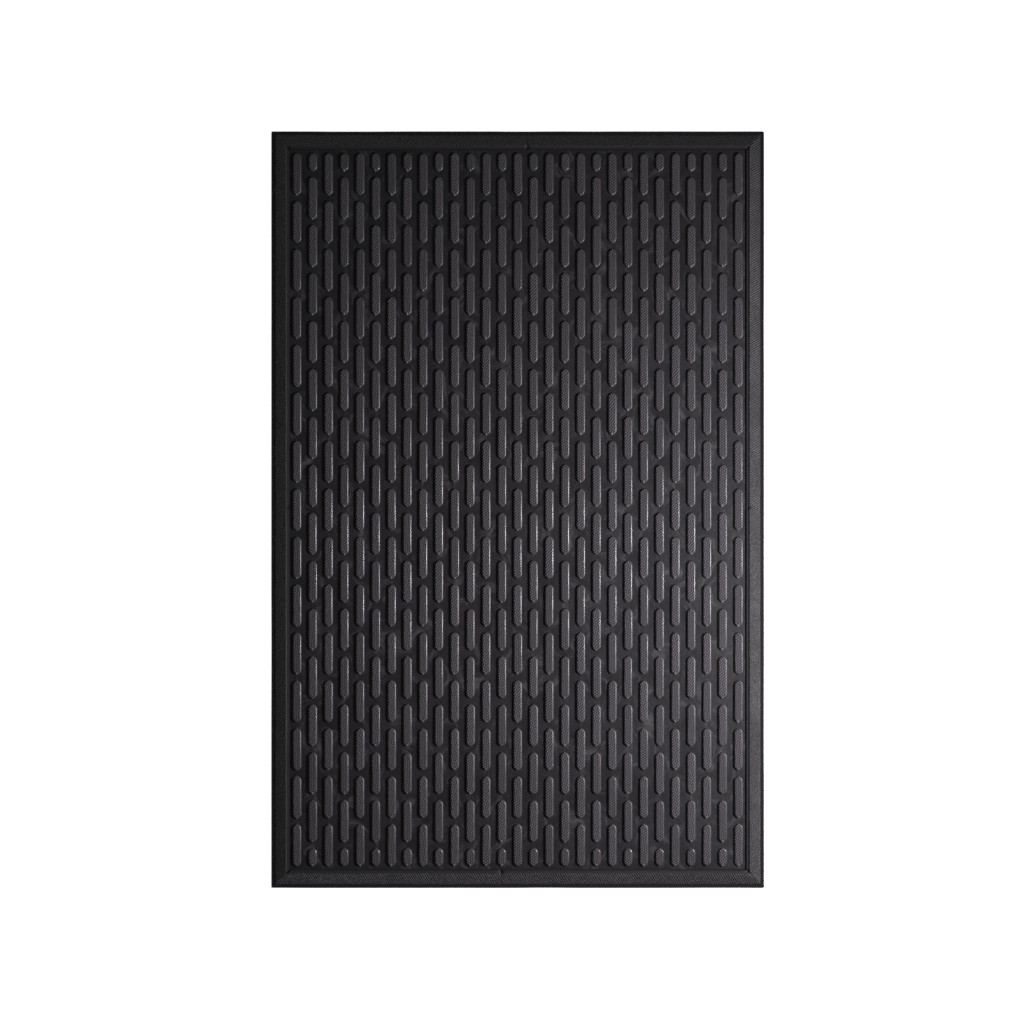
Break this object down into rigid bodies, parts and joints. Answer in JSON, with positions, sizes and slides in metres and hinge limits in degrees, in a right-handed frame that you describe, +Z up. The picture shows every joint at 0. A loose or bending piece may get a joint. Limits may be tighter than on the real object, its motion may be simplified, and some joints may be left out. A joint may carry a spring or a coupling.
{
  "type": "door mat",
  "caption": "Black rubber scraper door mat: flat rectangle with a ramped border and staggered rows of raised long cleats.",
  "frame": {"origin": "middle of the underside, on the floor", "axes": "+X across the mat, +Y along its long side, +Z up"},
  "size_m": [0.596, 0.915, 0.0066],
  "materials": {
    "backing_rubber": "smooth matt black rubber",
    "tread_rubber": "smooth matt black rubber",
    "border_rubber": "black rubber with a fine twill imprint",
    "cleat_rubber": "black rubber, twill imprint on top, smooth flanks"
  },
  "bodies": {
    "root": {"backing_sheet": "backing_rubber", "tread_sheet": "tread_rubber", "border_left_front": "border_rubber", "border_left_back": "border_rubber", "border_right_front": "border_rubber", "border_right_back": "border_rubber", "border_front_left": "border_rubber", "border_front_right": "border_rubber", "border_back_left": "border_rubber", "border_back_right": "border_rubber", "cleat_column_01": "cleat_rubber", "cleat_column_02": "cleat_rubber", "cleat_column_03": "cleat_rubber", "cleat_column_04": "cleat_rubber", "cleat_column_05": "cleat_rubber", "cleat_column_06": "cleat_rubber", "cleat_column_07": "cleat_rubber", "cleat_column_08": "cleat_rubber", "cleat_column_09": "cleat_rubber", "cleat_column_10": "cleat_rubber", "cleat_column_11": "cleat_rubber", "cleat_column_12": "cleat_rubber", "cleat_column_13": "cleat_rubber", "cleat_column_14": "cleat_rubber", "cleat_column_15": "cleat_rubber", "cleat_column_16": "cleat_rubber", "cleat_column_17": "cleat_rubber", "cleat_column_18": "cleat_rubber", "cleat_column_19": "cleat_rubber", "cleat_column_20": "cleat_rubber", "cleat_column_21": "cleat_rubber", "cleat_column_22": "cleat_rubber", "cleat_column_23": "cleat_rubber", "cleat_column_24": "cleat_rubber", "cleat_column_25": "cleat_rubber", "cleat_column_26": "cleat_rubber", "cleat_column_27": "cleat_rubber", "cleat_column_28": "cleat_rubber", "cleat_column_29": "cleat_rubber"}
  },
  "joints": []
}
